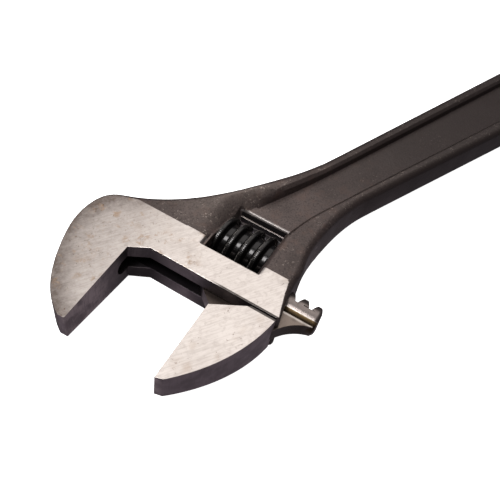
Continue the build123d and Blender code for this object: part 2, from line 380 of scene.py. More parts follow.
# --- finishes -------------------------------------------------------------------------------------
# A Span holds the two places of a smooth step: 0 at its first and 1 at its second.
@dataclass(frozen=True)
class ForgedPhosphate:
    """The brown-black phosphate skin of the forging, grainy, with bright flecks where it has rubbed."""

    name: str = "forged_phosphate"
    skin: Colour = (0.08, 0.06, 0.055)
    deep: Colour = (0.034, 0.025, 0.023)
    warm: Colour = (0.1, 0.062, 0.05)
    rubbed: Colour = (0.3, 0.25, 0.22)
    bright: Colour = (0.6, 0.56, 0.54)
    dark: Colour = (0.008, 0.006, 0.006)
    grain: Noise = Noise(0.45 * MM, 2.0, 0.6)
    cloud: Noise = Noise(9.0 * MM)
    rust: Noise = Noise(3.5 * MM)
    speck: Noise = Noise(0.35 * MM, 1.0)
    patch: Noise = Noise(2.4 * MM, 3.0, 0.6)
    fleck: Noise = Noise(0.55 * MM, 4.0, 0.7)
    pebble: Noise = Noise(1.6 * MM, 2.0)
    relief: float = 0.07 * MM
    metal: float = 0.55
    roughness: float = 0.42
    # Where a painted shade on the handle is nothing and where it is full: light falling off towards the
    # handle's end.
    far: Span = (140.0 * MM, 85.0 * MM)
    # Places of the painted highlight on the lips and the ridge, and of the painted shade between them,
    # at the window's back.
    lip_v: float = 25.6 * MM
    lip_z: float = 2.6 * MM
    lip_back: Span = (0.75 * MM, 0.3 * MM)
    lip_over: Span = (0.25 * MM, 0.0)
    lip_under: Span = (-0.75 * MM, -0.4 * MM)
    ridge: Span = (0.2 * MM, 0.08 * MM)
    line_front: Span = (-0.6 * MM, -0.2 * MM)
    line_back: Span = (0.8 * MM, 0.7 * MM)
    hollow_front: Span = (-0.15 * MM, -0.05 * MM)
    hollow_back: Span = (0.3 * MM, 0.2 * MM)
    hollow_over: Span = (-0.6 * MM, -0.9 * MM)

    def window_back(self, bench: Bench) -> tuple[Term, Term]:
        """Finds the lips of the recess's floors and the ridge at half height, behind the worm.

        Args:
            bench: the material's bench.

        Returns:
            A painted highlight along lips and ridge, partly rubbed, and painted shade on the wall
            between them.
        """
        v, z = bench.v(), abs(bench.z())
        lip = v.rise_by(self.lip_v, self.lip_back) * z.rise_by(self.lip_z, self.lip_over)
        lip = lip * z.rise_by(self.lip_z, self.lip_under)
        ridge = z.rise(*self.ridge)
        line = lip.most(ridge) * v.rise_by(self.lip_v, self.line_front)
        line = line * v.rise_by(self.lip_v, self.line_back)
        hollow = v.rise_by(self.lip_v, self.hollow_front) * v.rise_by(self.lip_v, self.hollow_back)
        hollow = hollow * z.rise_by(self.lip_z, self.hollow_over) * ridge.rise(0.6, 0.2)
        return line, hollow

    def build(self) -> bpy.types.Material:
        """Makes the material.

        Returns:
            The material: skin, clouds, rust and flecks, painted shade towards the handle's end, and the
                painted highlight and shade of the window's back over them.
        """
        bench = Bench.of_material(self.name)
        grain = bench.noise(self.grain)
        cloud = bench.noise(self.cloud)
        wear = bench.attribute("wear")
        colour = bench.mix(self.skin, self.deep, cloud.rise(0.35, 0.75) * 0.55)
        colour = bench.mix(colour, self.deep, grain.rise(0.52, 0.32) * 0.8)
        colour = bench.mix(colour, self.warm, bench.noise(self.rust).rise(0.5, 0.72) * 0.5)
        # Painted shade: the handle darkens towards its end, away from the head.
        colour = bench.mix(colour, self.deep, bench.x().rise(*self.far) * 0.92)
        colour = bench.mix(colour, self.rubbed, wear.rise(0.2, 1.2) * grain * 0.42)
        speck = bench.noise(self.speck).rise(0.68, 0.76) * cloud.rise(0.46, 0.62)
        patch = bench.noise(self.patch).rise(0.5, 0.62)
        fleck = bench.noise(self.fleck).rise(0.54, 0.64) * patch * wear.rise(0.05, 0.6)
        colour = bench.mix(colour, self.rubbed, (speck * 0.35).most(fleck))
        line, hollow = self.window_back(bench)
        # Painted highlight along the lips and the ridge, partly rubbed, and painted shade on the wall
        # between them.
        colour = bench.mix(colour, self.bright, line * (0.2 + grain * 0.4))
        colour = bench.mix(colour, self.dark, hollow)
        height = grain * 0.7 + bench.noise(self.pebble) * 0.5
        return bench.surface(
            Base_Color=colour,
            Metallic=self.metal,
            Roughness=self.roughness + (cloud - 0.5) * 0.25,
            Normal=bench.bump(height, self.relief, 0.9),
        )


@dataclass(frozen=True)
class GroundSteel:
    """Bright ground steel with fine slanting marks, a warm stain here and there and specks of rust.

    Its places along the slide are given from a middle on the fixed jaw, away from which the face
    darkens.
    """

    name: str = "ground_steel"
    steel: Colour = (0.54, 0.5, 0.472)
    dull: Colour = (0.38, 0.34, 0.315)
    darkening: Colour = (0.13, 0.108, 0.097)
    stain: Colour = (0.29, 0.21, 0.15)
    rust: Colour = (0.13, 0.07, 0.04)
    oil_and_shade: Colour = (0.02, 0.016, 0.015)
    marks: Noise = Noise(0.35 * MM, 3.0, 0.7, (22.0, 1.0, 1.0), math.radians(166))
    cloud: Noise = Noise(11.0 * MM, 4.0, 0.6)
    patch: Noise = Noise(5.0 * MM, 2.0)
    scuff: Noise = Noise(1.1 * MM, 3.0, 0.7)
    mottle: Noise = Noise(1.6 * MM, 4.0, 0.75)
    bloom: Noise = Noise(2.6 * MM, 4.0, 0.7)
    pit: Noise = Noise(0.5 * MM, 2.0, 0.6)
    speck: Noise = Noise(0.8 * MM, 3.0, 0.7)
    relief: float = 0.012 * MM
    roughness: float = 0.36
    # The darker band round a middle on the fixed jaw, and a painted shade that deepens across the jaw
    # towards its outer side.
    darkening_middle: Pair = (6.0 * MM, -4.0 * MM)
    darkening_reach: Span = (14.0 * MM, 22.5 * MM)
    darkening_side: Span = (1.0 * MM, -9.0 * MM)
    painted_shade_slope: Span = (6.0 * MM, -14.0 * MM)
    ragged: float = 4.0 * MM
    aged: Span = (16.0 * MM, 4.0 * MM)
    seam_v: float = -0.2 * MM
    seam_half: Span = (0.75 * MM, 0.6 * MM)
    seam_start: Span = (13.0 * MM, 18.0 * MM)

    def build(self) -> bpy.types.Material:
        """Makes the material.

        Returns:
            The material: marks and scuffs, a darker band towards the fixed jaw's outer edge under a
                painted shade, stains, pits and rust, and painted shade along the seam.
        """
        bench = Bench.of_material(self.name)
        marks = bench.noise(self.marks)
        cloud = bench.noise(self.cloud)
        patch = bench.noise(self.patch)
        mottle = bench.noise(self.mottle)
        streak = marks.rise(0.4, 0.7) * 0.55 + cloud.rise(0.45, 0.72) * 0.4
        colour = bench.mix(self.steel, self.dull, streak)
        colour = bench.mix(colour, self.dull, bench.noise(self.scuff).rise(0.48, 0.7) * 0.5)
        u = bench.u() - self.darkening_middle[0]
        v = bench.v() - self.darkening_middle[1]
        # Darker in a ragged band towards the fixed jaw's outer edge; a painted shade deepens across the
        # jaw towards its outer side.
        out = u.distance(v) + (cloud - 0.5) * self.ragged
        darkening = out.rise(*self.darkening_reach) * u.rise(*self.darkening_side) * 0.85
        darkening = darkening + u.rise(*self.painted_shade_slope) * 0.45
        colour = bench.mix(colour, self.darkening, darkening * (mottle.rise(0.25, 0.75) * 0.35 + 0.65))
        colour = bench.mix(colour, self.stain, patch.rise(0.55, 0.75) * cloud.rise(0.4, 0.6) * 0.35)
        aged = u.rise(*self.aged)
        bloom = bench.noise(self.bloom).rise(0.53, 0.68) * patch.rise(0.42, 0.56) * aged
        colour = bench.mix(colour, self.stain, bloom * 0.85)
        pit = bench.noise(self.pit).rise(0.6, 0.7) * mottle.rise(0.5, 0.62)
        colour = bench.mix(colour, self.rust, pit * (aged * 0.8 + 0.2) * 0.55)
        speck = bench.noise(self.speck).rise(0.62, 0.68) * patch.rise(0.44, 0.6)
        colour = bench.mix(colour, self.rust, speck * (0.35 + darkening * 0.5))
        # Painted shade along the joint between the movable jaw and the head.
        seam = abs(bench.v() - self.seam_v).rise(*self.seam_half) * u.rise(*self.seam_start)
        colour = bench.mix(colour, self.oil_and_shade, seam * 0.9)
        return bench.surface(
            Base_Color=colour,
            Metallic=1.0,
            Roughness=self.roughness + (marks - 0.5) * 0.16 + speck * 0.3,
            Normal=bench.bump(marks, self.relief, 0.6),
        )


@dataclass(frozen=True)
class CutSteel:
    """Milled walls of the jaws: darker than the ground faces, with cutter marks and dull patches."""

    name: str = "cut_steel"
    steel: Colour = (0.27, 0.225, 0.25)
    dull: Colour = (0.165, 0.135, 0.15)
    rubbed: Colour = (0.5, 0.43, 0.44)
    oil_and_shade: Colour = (0.012, 0.009, 0.011)
    marks: Noise = Noise(0.3 * MM, 2.0, 0.6, (1.0, 1.0, 14.0))
    cloud: Noise = Noise(3.5 * MM, 4.0, 0.65)
    relief: float = 0.02 * MM
    metal: float = 0.85
    roughness: float = 0.4
    slot_front: Span = (0.01 * MM, 0.1 * MM)
    slot_side: Span = (2.8 * MM, 2.4 * MM)
    slot_back: Span = (0.4 * MM, 1.0 * MM)
    wall: Span = (-0.35 * MM, -0.1 * MM)
    beside: Span = (14.0 * MM, 21.0 * MM)
    corner: Span = (15.0 * MM, 4.0 * MM)
    low: Span = (-1.0 * MM, -2.5 * MM)
    ragged: float = 6.0 * MM

    def build(self) -> bpy.types.Material:
        """Makes the material.

        Returns:
            The material: cutter marks and dull patches, oil and painted shade in the throat's corner
                and the slot, and painted shade on the wall beside the jaw.
        """
        bench = Bench.of_material(self.name)
        marks = bench.noise(self.marks)
        cloud = bench.noise(self.cloud)
        colour = bench.mix(self.steel, self.rubbed, bench.attribute("wear"))
        colour = bench.mix(colour, self.dull, cloud.rise(0.38, 0.66) * 0.7)
        colour = bench.mix(colour, self.dull, marks.rise(0.5, 0.7) * 0.4)
        u, v, z = bench.u(), bench.v(), bench.z()
        # Painted shade in the throat's corner, with some oil, strongest low down.
        corner = (u.distance(v) + (cloud - 0.5) * self.ragged).rise(*self.corner)
        colour = bench.mix(colour, self.oil_and_shade, corner * (z.rise(*self.low) * 0.2 + 0.7))
        # Oil and painted shade in the slot and the bore; painted shade on the head's wall beside the
        # jaw where it stands at rest.
        slot = (v.rise(*self.slot_front) * abs(z).rise(*self.slot_side)).most(v.rise(*self.slot_back))
        beside = v.rise(*self.wall) * u.rise(*self.beside)
        colour = bench.mix(colour, self.oil_and_shade, slot.most(beside * 0.9) * 0.96)
        return bench.surface(
            Base_Color=colour,
            Metallic=self.metal,
            Roughness=self.roughness + (cloud - 0.5) * 0.3,
            Normal=bench.bump(marks + cloud * 0.5, self.relief, 0.6),
        )


@dataclass(frozen=True)
class RackSteel:
    """The rail and its web: grey on the teeth's side of a painted highlight line, oily brown on the
    other.

    Angles go round the rail from its front, over its top, to its back.
    """

    name: str = "rack_steel"
    grey: Colour = (0.15, 0.127, 0.12)
    brown: Colour = (0.16, 0.108, 0.052)
    web: Colour = (0.145, 0.117, 0.1)
    oil_and_shade: Colour = (0.03, 0.022, 0.018)
    bright: Colour = (0.6, 0.56, 0.53)
    cloud: Noise = Noise(2.2 * MM, 4.0, 0.6)
    relief: float = 0.03 * MM
    metal: float = 0.85
    roughness: float = 0.3
    rail_v: float = 8.05 * MM
    rail_r: float = 3.42 * MM
    rail_edge: Span = (0.12 * MM, 0.05 * MM)
    line: float = math.radians(56)
    line_edge: Span = (-0.05, 0.02)
    line_half: Span = (0.06, 0.015)
    seam: float = math.radians(34)
    seam_edge: Span = (0.22, 0.02)
    foot_edge: Span = (0.7 * MM, 0.2 * MM)
    web_half: float = 1.9 * MM
    web_edge: Span = (-0.3 * MM, -0.1 * MM)
    web_front: Span = (-1.6 * MM, -0.8 * MM)
    inside: Span = (34.0 * MM, 30.0 * MM)

    def build(self) -> bpy.types.Material:
        """Makes the material.

        Returns:
            The material: the rail's two sides and a painted highlight line, and the web, with oil and
                painted shade inside the slot.
        """
        bench = Bench.of_material(self.name)
        cloud = bench.noise(self.cloud)
        u, v, z = bench.u(), bench.v(), abs(bench.z())
        turn = z.angle(self.rail_v - v)
        reach = z.distance(v - self.rail_v)
        rail = bench.mix(self.brown, self.grey, turn.rise_by(self.line, self.line_edge))
        # Painted shade along the rail's front, in the groove where it meets the web.
        rail = bench.mix(rail, self.oil_and_shade, turn.rise_by(self.seam, self.seam_edge) * 0.85)
        # Painted highlight: a thin bright line along the rail.
        rail = bench.mix(rail, self.bright, abs(turn - self.line).rise(*self.line_half) * 0.5)
        # Painted highlight along the web's edge at the rail's foot.
        flat = bench.mix(self.web, self.bright, reach.rise_by(self.rail_r, self.foot_edge) * 0.5)
        # Painted shade, with some oil, on the web between its top and bottom faces.
        flat = bench.mix(self.oil_and_shade, flat, z.rise_by(self.web_half, self.web_edge) * 0.9 + 0.1)
        # Oil and painted shade on the web inside the head's slot.
        inside = u.rise(*self.inside) * (v.rise(*self.web_front) * 0.35 + 0.6)
        on_rail = reach.rise_by(self.rail_r, self.rail_edge)
        colour = bench.mix(bench.mix(flat, self.oil_and_shade, inside), rail, on_rail)
        colour = bench.mix(colour, self.oil_and_shade, cloud.rise(0.48, 0.72) * 0.5)
        return bench.surface(
            Base_Color=colour,
            Metallic=self.metal,
            Roughness=self.roughness + (cloud - 0.5) * 0.25,
            Normal=bench.bump(cloud, self.relief, 0.5),
        )


@dataclass(frozen=True)
class OiledBlack:
    """Blackened, oiled steel, bright where wear is high: rubbed, and on the worm a painted highlight.
    """

    name: str = "oiled_black"
    black: Colour = (0.011, 0.01, 0.01)
    rubbed: Colour = (0.42, 0.39, 0.36)
    grain: Noise = Noise(0.5 * MM, 3.0, 0.6)
    relief: float = 0.015 * MM
    roughness: float = 0.22
    coat: float = 0.15

    def build(self) -> bpy.types.Material:
        """Makes the material.

        Returns:
            The material, less metallic and rougher where it is rubbed.
        """
        bench = Bench.of_material(self.name)
        grain = bench.noise(self.grain)
        wear = bench.attribute("wear").rise(0.15, 1.0) * grain.rise(0.3, 0.6)
        return bench.surface(
            Base_Color=bench.mix(self.black, self.rubbed, wear * 0.5),
            Metallic=wear * -0.65 + 0.75,
            Roughness=self.roughness + wear * 0.12 + (grain - 0.5) * 0.15,
            Coat_Weight=self.coat,
            Coat_Roughness=0.15,
            Normal=bench.bump(grain, self.relief, 0.5),
        )


@dataclass(frozen=True)
class WhitePaper:
    """The plain pale floor, dark only under the worm's window, where the head keeps light from it."""

    name: str = "white_paper"
    white: Colour = (0.96, 0.96, 0.96)
    mottled: Colour = (0.93, 0.93, 0.93)
    mottle: Noise = Noise(0.4, 2.0)
    shade: Colour = (0.02, 0.018, 0.018)
    shade_place: Pair = (20.85 * MM, 20.0 * MM)
    shade_reach: Span = (12.5 * MM, 9.5 * MM)
    roughness: float = 0.9
    glow: float = 1.1

    def build(self) -> bpy.types.Material:
        """Makes the material.

        Returns:
            The material, with a faint mottle so that it isn't one flat value.
        """
        bench = Bench.of_material(self.name)
        colour = bench.mix(self.white, self.mottled, bench.noise(self.mottle))
        u = bench.u() - self.shade_place[0]
        v = bench.v() - self.shade_place[1]
        colour = bench.mix(colour, self.shade, u.distance(v).rise(*self.shade_reach))
        return bench.surface(
            Base_Color=colour,
            Roughness=self.roughness,
            Emission_Color=colour,
            Emission_Strength=self.glow,
        )


class Skin(Enum):
    """The finishes that one forging can carry, in the order of its material slots."""

    FORGED = 0
    GROUND = 1
    CUT = 2
    RACK = 3


# --- making pieces --------------------------------------------------------------------------------
class Workshop:
    """Turns arrays and CAD nodes into finished pieces."""

    @staticmethod
    def from_arrays(
        name: str, points: np.ndarray, faces: np.ndarray, wear: Optional[np.ndarray] = None
    ) -> bpy.types.Object:
        """Makes a piece whose mesh is whole arrays.

        Args:
            name: the piece's name.
            points: an (n, 3) array in metres.
            faces: an (m, 4) array of point numbers.
            wear: how rubbed each point is, if its finish asks.

        Returns:
            The piece, with its doubled points merged.
        """
        mesh = bpy.data.meshes.new(name)
        mesh.from_pydata(points.tolist(), [], faces.tolist())
        if wear is not None:
            Workshop.store(mesh, "wear", wear)
        Workshop.merge(mesh)
        return Workshop.link(name, mesh)

    @staticmethod
    def from_node(node: str, name: str) -> bpy.types.Object:
        """Makes a piece from a merged copy of a CAD node's mesh, which it replaces.

        Args:
            node: the node's name.
            name: the piece's name.

        Returns:
            The piece, with no material yet.
        """
        mesh = frame["nodes"][node].data.copy()
        mesh.name = name
        if "custom_normal" in mesh.attributes:
            mesh.attributes.remove(mesh.attributes["custom_normal"])
        Workshop.merge(mesh)
        mesh.materials.clear()
        piece = Workshop.link(name, mesh)
        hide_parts(node)
        return piece

    @staticmethod
    def link(name: str, data: Any) -> bpy.types.Object:
        """Puts a new object into the scene.

        Args:
            name: the object's name.
            data: its mesh, lamp or camera.

        Returns:
            The object.
        """
        thing = bpy.data.objects.new(name, data)
        bpy.context.scene.collection.objects.link(thing)
        return thing

    @staticmethod
    def merge(mesh: bpy.types.Mesh) -> None:
        """Merges doubled points and drops faces that have no area.

        Args:
            mesh: the mesh.
        """
        work = bmesh.new()
        work.from_mesh(mesh)
        bmesh.ops.remove_doubles(work, verts=work.verts, dist=0.0005 * MM)
        bmesh.ops.dissolve_degenerate(work, edges=work.edges, dist=0.0001 * MM)
        work.to_mesh(mesh)
        work.free()

    @staticmethod
    def recut(mesh: bpy.types.Mesh, fences: list[Cut], cuts: list[Cut]) -> None:
        """Joins flat facets into whole faces and cuts the mesh along planes.

        Args:
            mesh: the mesh.
            fences: the planes round a region, each facing into it, which cut the whole mesh.
            cuts: the planes that cut only the faces inside all the fences.
        """
        work = bmesh.new()
        work.from_mesh(mesh)
        bmesh.ops.dissolve_limit(
            work, angle_limit=math.radians(0.2), verts=work.verts, edges=work.edges, delimit={"NORMAL"}
        )
        snap = 0.01 * MM
        for point, way in fences:
            part = work.verts[:] + work.edges[:] + work.faces[:]
            bmesh.ops.bisect_plane(work, geom=part, dist=snap, plane_co=point, plane_no=way)
        inside = [
            face for face in work.faces
            if all((face.calc_center_median() - point).dot(way) > 0 for point, way in fences)
        ]
        edges = {edge for face in inside for edge in face.edges}
        part = inside + list(edges) + list({vert for face in inside for vert in face.verts})
        for point, way in cuts:
            done = bmesh.ops.bisect_plane(work, geom=part, dist=snap, plane_co=point, plane_no=way)
            part = done["geom"]
        work.to_mesh(mesh)
        work.free()

    @staticmethod
    def grid_faces(rows: int, columns: int, close_rows: bool) -> np.ndarray:
        """The faces of a grid of points stored row by row, whose last column joins its first.

        Each face takes a point, its neighbour to the right, and the same two of the row below.

        Args:
            rows: how many rows there are.
            columns: how many columns there are.
            close_rows: whether the last row joins the first as well.

        Returns:
            An (m, 4) array of point numbers.
        """
        row = np.arange(rows if close_rows else rows - 1)[:, None]
        column = np.arange(columns)[None, :]
        down, right = (row + 1) % rows, (column + 1) % columns
        corners = (
            row * columns + column,
            row * columns + right,
            down * columns + right,
            down * columns + column,
        )
        return np.stack(corners, axis=-1).reshape(-1, 4)

    @staticmethod
    def crease_borders(mesh: bpy.types.Mesh) -> None:
        """Makes every edge sharp whose faces carry different finishes.

        The lowest and the highest slot of the faces round such an edge differ.

        Args:
            mesh: the mesh.
        """
        totals = np.empty(len(mesh.polygons), np.int32)
        slots = np.empty(len(mesh.polygons), np.int32)
        edges = np.empty(len(mesh.loops), np.int32)
        sharp = np.empty(len(mesh.edges), bool)
        mesh.polygons.foreach_get("loop_total", totals)
        mesh.polygons.foreach_get("material_index", slots)
        mesh.loops.foreach_get("edge_index", edges)
        mesh.edges.foreach_get("use_edge_sharp", sharp)
        owner = np.repeat(slots, totals)
        low = np.full(len(mesh.edges), len(Skin))
        high = np.full(len(mesh.edges), -1)
        np.minimum.at(low, edges, owner)
        np.maximum.at(high, edges, owner)
        mesh.edges.foreach_set("use_edge_sharp", sharp | (low != high))

    @staticmethod
    def ease(piece: bpy.types.Object, width: float) -> None:
        """Eases a piece's sharp edges with a live bevel.

        Args:
            piece: the piece.
            width: the bevel's width in metres.
        """
        piece.data.shade_smooth()
        piece.data.set_sharp_from_angle(angle=SHARP)
        Workshop.crease_borders(piece.data)
        bevel = piece.modifiers.new("eased_edges", "BEVEL")
        bevel.width = width
        bevel.segments = 2
        bevel.limit_method = "ANGLE"
        bevel.angle_limit = SHARP
        bevel.harden_normals = True
        bevel.use_clamp_overlap = False

    @staticmethod
    def store(mesh: bpy.types.Mesh, name: str, values: np.ndarray) -> None:
        """Stores one number per point on a mesh."""
        attribute = mesh.attributes.new(name, "FLOAT", "POINT")
        attribute.data.foreach_set("value", np.ascontiguousarray(values, np.float32))

    @staticmethod
    def points(mesh: bpy.types.Mesh) -> np.ndarray:
        """Reads a mesh's points.

        Args:
            mesh: the mesh.

        Returns:
            An (n, 3) array.
        """
        flat = np.empty(len(mesh.vertices) * 3)
        mesh.vertices.foreach_get("co", flat)
        return flat.reshape(-1, 3)

    @staticmethod
    def faces(mesh: bpy.types.Mesh) -> tuple[np.ndarray, np.ndarray]:
        """Reads a mesh's faces.

        Args:
            mesh: the mesh.

        Returns:
            Their middles and their outward directions, as two (m, 3) arrays.
        """
        middles = np.empty(len(mesh.polygons) * 3)
        normals = np.empty(len(mesh.polygons) * 3)
        mesh.polygons.foreach_get("center", middles)
        mesh.polygons.foreach_get("normal", normals)
        return middles.reshape(-1, 3), normals.reshape(-1, 3)

    @staticmethod
    def dress(mesh: bpy.types.Mesh, finishes: list[bpy.types.Material], skins: np.ndarray) -> None:
        """Gives a mesh its finishes.

        Args:
            mesh: the mesh.
            finishes: the materials in the order of Skin.
            skins: the material slot of each face.
        """
        for material in finishes:
            mesh.materials.append(material)
        mesh.polygons.foreach_set("material_index", skins.astype(np.int32))

    @staticmethod
    def hand_over(piece: bpy.types.Object, body: str, slot: str) -> bpy.types.Object:
        """Puts a piece on its body.

        Args:
            piece: the piece.
            body: the body that it rides on.
            slot: not used.

        Returns:
            The piece.
        """
        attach(piece, body)
        return piece


# --- the forging and the jaw ----------------------------------------------------------------------
@dataclass(frozen=True)
class GroundFaces:
    """The two ground faces of the jaws, which lean apart towards the handle."""

    half: float = 5.795 * MM
    slope: float = 0.08

    def among(self, middles: np.ndarray, normals: np.ndarray) -> np.ndarray:
        """Finds the ground faces: level, and as high as the half at the throat plus the slope times v.

        Args:
            middles: the faces' middles.
            normals: the faces' directions.

        Returns:
            Whether each face is ground.
        """
        _, v = HEAD.read(middles)
        height = np.abs(middles[:, 2])
        return (np.abs(height - self.half - self.slope * v) < NEAR) & (np.abs(normals[:, 2]) > LEVEL)


@dataclass(frozen=True)
class Rubbed:
    """A rubbed place on the head that fades out smoothly."""

    most: float
    u: float
    reach_u: float
    v: float
    reach_v: float

    def at(self, u: np.ndarray, v: np.ndarray) -> np.ndarray:
        """The most times e to the power of less the sum of the squared distances over their reaches."""
        across, along = (u - self.u) / self.reach_u, (v - self.v) / self.reach_v
        return self.most * np.exp(-(across**2) - along**2)


@dataclass
class ForgedFrame:
    """The handle and the head with the fixed jaw, one forging with ground and milled faces.

    The tables of the rolled shoulders are in millimetres: two edges as points u and v, the drop and the
    roll's width against the length along the far edge, and the slices beside the window.
    """

    ground: GroundFaces = GroundFaces()
    slot_half: float = 2.0 * MM
    rail_v: float = 8.05 * MM
    rail_bore: float = 3.5 * MM
    bore_span: Span = (3.0 * MM, 12.0 * MM)
    bore_end: float = -6.0 * MM
    drill_end: float = -9.5 * MM
    head_end: float = 39.0 * MM
    corner_reach: float = 3.0 * MM
    tip_v: float = -24.0 * MM
    window_far: float = 13.8 * MM
    window_near: float = 27.9 * MM
    window_back: float = 25.6 * MM
    window_front: float = 7.41 * MM
    rim_front: float = 7.4 * MM
    far_rim: float = 0.5 * MM
    near_rim: float = 0.6 * MM
    floor: float = 2.6 * MM
    top: float = 6.58 * MM
    edge: float = 0.16 * MM
    lip_width: float = 0.7 * MM
    shoulder: Rubbed = Rubbed(0.6, 3.0 * MM, 7.0 * MM, 21.0 * MM, 9.0 * MM)
    rolled: Rubbed = Rubbed(1.1, 13.0 * MM, 4.5 * MM, 26.0 * MM, 10.0 * MM)
    face_front: float = -2.0 * MM
    face_wear: float = 0.9
    rim_start: float = 4.2 * MM
    rim_climb: float = 0.6 * MM
    rim_wear: float = 0.35
    far_edge: tuple[Pair, ...] = (
        (13.8, 7.4), (13.8, 19.5), (14.5, 23.2), (16.3, 26.6), (19.0, 30.0), (22.9, 35.4), (29.5, 53.7),
    )
    near_edge: tuple[Pair, ...] = ((27.9, 7.4), (27.9, 20.0))
    drops: tuple[Pair, ...] = (
        (2.4, 0.0), (5.0, 1.2), (10.0, 2.6), (14.0, 3.6), (18.0, 3.95), (22.0, 3.8), (27.0, 2.9),
        (35.0, 1.4), (48.0, 0.0),
    )
    widths: tuple[Pair, ...] = ((8.0, 5.5), (17.0, 4.9), (24.0, 4.0))
    edge_gap: float = 0.5 * MM
    step_drop: float = 1.0 * MM
    step_width: float = 0.75 * MM
    step_end: float = 18.2 * MM
    near_drop: float = 0.7 * MM
    near_width: float = 1.3 * MM
    rail_front: float = 12.5 * MM
    slices_far: tuple[float, ...] = (0.25, 0.5, 0.75, 1.0, 1.5, 2.1, 2.8, 3.6, 4.5, 5.5)
    slices_near: tuple[float, ...] = (0.3, 0.6, 0.9, 1.3)

    def skins(self, mesh: bpy.types.Mesh) -> np.ndarray:
        """Sorts faces by finish.

        The narrow rims beside the window aren't ground. A cut face is one of the throat's walls, the
        tip's end, or a wall of the rail's bore and slot, which lie no further from the rail's axis than
        its radius or within the slot's half width.

        Args:
            mesh: the forging's mesh.

        Returns:
            A material slot number for each face.
        """
        middles, normals = Workshop.faces(mesh)
        u, v = HEAD.read(middles)
        height = np.abs(middles[:, 2])
        far_rim = (u > self.window_far - self.far_rim) & (u < self.window_far)
        near_rim = (u > self.window_near) & (u < self.window_near + self.near_rim)
        ground = self.ground.among(middles, normals) & ~((far_rim | near_rim) & (v > self.rim_front))
        wall = np.abs(normals[:, 2]) < UPRIGHT
        in_head = u < self.head_end
        jaw_face = (np.abs(u) < NEAR) & (v < 0)
        corner = (u > -NEAR) & (v > -self.corner_reach) & (v < NEAR) & in_head
        tip = (v < self.tip_v) & (normals @ HEAD.back < -LEVEL)
        reach = np.hypot(v - self.rail_v, middles[:, 2])
        bore = (reach < self.rail_bore + NEAR) & (v > self.bore_span[0]) & (v < self.bore_span[1])
        slot = (height < self.slot_half + NEAR) & (v < self.rail_v) & (u > self.bore_end) & in_head
        cut = (wall & (jaw_face | corner | tip)) | ((bore | slot) & (u > self.drill_end) & in_head)
        cut &= ~((u < self.bore_end) & (reach > self.rail_bore + NEAR))
        return np.where(ground, Skin.GROUND.value, np.where(cut, Skin.CUT.value, Skin.FORGED.value))

    def wear(self, mesh: bpy.types.Mesh) -> np.ndarray:
        """Finds how rubbed each point is: the rims, the shoulders by the worm and the jaw's face.

        Args:
            mesh: the forging's mesh.

        Returns:
            A number from 0 to 1 for each point, the sum of the places' own.
        """
        points = Workshop.points(mesh)
        u, v = HEAD.read(points)
        over = (np.abs(points[:, 2]) - self.rim_start) / self.rim_climb
        rim = np.clip(over, 0.0, 1.0) * self.rim_wear
        face = ((np.abs(u) < ON_EDGE) & (v < self.face_front)) * self.face_wear
        return np.clip(self.shoulder.at(u, v) + self.rolled.at(u, v) + rim + face, 0.0, 1.0)

    def fences(self) -> list[Cut]:
        """Places the planes round the region that is cut finely.

        Returns:
            One plane at the window's front, and one off its far side.
        """
        return [
            (Vector(HEAD.place(0.0, self.window_front)), Vector(HEAD.back)),
            (Vector(HEAD.place(self.window_far - 6.0 * MM, 0.0)), Vector(HEAD.slide)),
        ]

    def cuts(self) -> list[Cut]:
        """Places the planes that give the shoulders beside the window enough points to roll down.

        Returns:
            Planes across the slide beside the window, and across the handle from its front backwards,
            wider apart past its back.
        """
        far = self.window_far - np.array(self.slices_far) * MM
        near = self.window_near + np.array(self.slices_near) * MM
        behind = np.concatenate([np.arange(8.0, 27.0, 1.0), np.arange(28.0, 50.0, 2.0)]) * MM
        slices = [(Vector(HEAD.place(u, 0.0)), Vector(HEAD.slide)) for u in (*far, *near)]
        return slices + [(Vector(HEAD.place(0.0, v)), Vector(HEAD.back)) for v in behind]

    @staticmethod
    def reach(u: np.ndarray, v: np.ndarray, path: np.ndarray) -> tuple[np.ndarray, np.ndarray]:
        """How far points lie from a path of straight pieces.

        For each piece the nearest place is the point's shadow on it, held between its ends; the least
        distance over the pieces counts, with the length of path up to that place.

        Args:
            u: first coordinate of the points.
            v: second coordinate of the points.
            path: the path's corners.

        Returns:
            The distances and the lengths along the path.
        """
        starts, steps = path[:-1], np.diff(path, axis=0)
        lengths = np.linalg.norm(steps, axis=1)
        before = np.concatenate([[0.0], np.cumsum(lengths)[:-1]])
        offset = np.stack([u, v], axis=-1)[:, None, :] - starts[None]
        share = np.clip((offset * steps[None]).sum(-1) / lengths**2, 0.0, 1.0)
        gap = np.linalg.norm(offset - share[..., None] * steps[None], axis=-1)
        best = gap.argmin(axis=1)
        rows = np.arange(len(gap))
        return gap[rows, best], before[best] + share[rows, best] * lengths[best]

    @staticmethod
    def fade(gap: np.ndarray, width: Union[float, np.ndarray], power: float) -> np.ndarray:
        """One less the gap over the width, never under 0 or over 1, to a power."""
        return np.clip(1.0 - gap / width, 0.0, 1.0) ** power

